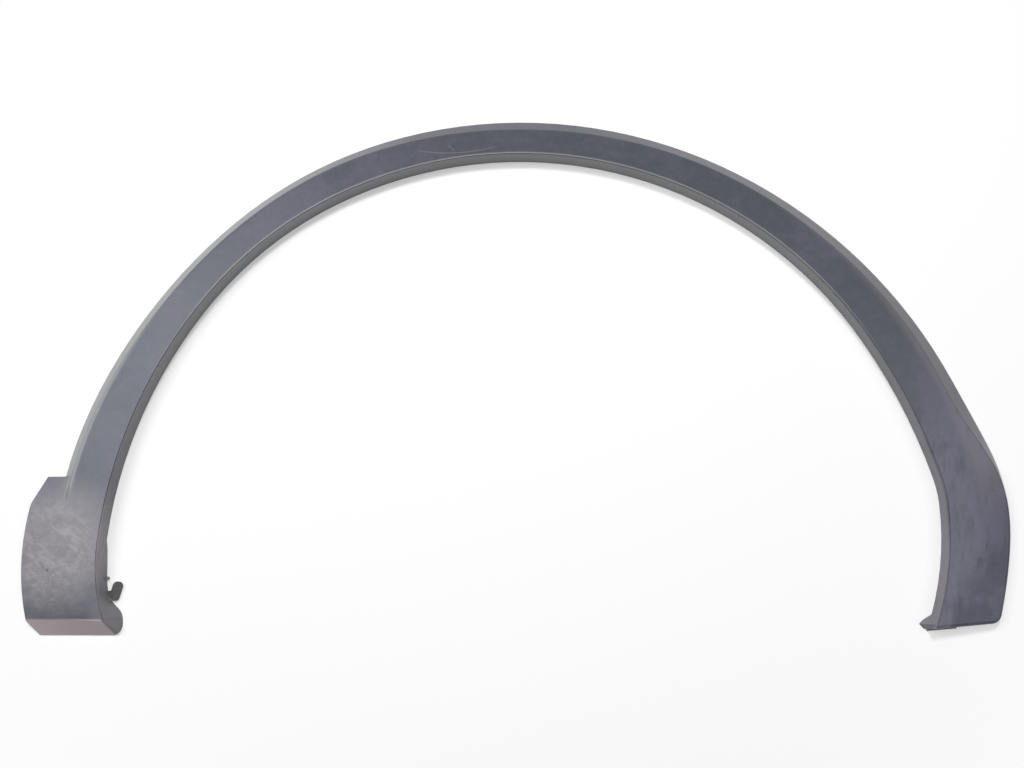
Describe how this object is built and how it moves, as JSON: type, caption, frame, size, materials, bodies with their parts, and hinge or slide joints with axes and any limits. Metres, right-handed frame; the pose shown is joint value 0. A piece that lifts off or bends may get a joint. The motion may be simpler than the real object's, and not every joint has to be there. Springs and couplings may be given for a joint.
{
  "type": "wheel arch trim",
  "caption": "Curved moulded plastic trim that covers the edge of a car wheel opening, with a rolled inner lip, a sloped outer band and wider foot plates.",
  "frame": {"origin": "middle of the bounding box, on the plane of the back rim that the trim lies on", "axes": "+X along the car, +Y from the toes to the crown of the arch, +Z out of the visible face"},
  "size_m": [0.8977, 0.4918, 0.0173],
  "materials": {
    "moulded_plastic": "fine grained dark slate grey moulding, dusty and lightly scratched at the feet"
  },
  "bodies": {
    "root": {"wheel_arch_trim": "moulded_plastic"}
  },
  "joints": []
}
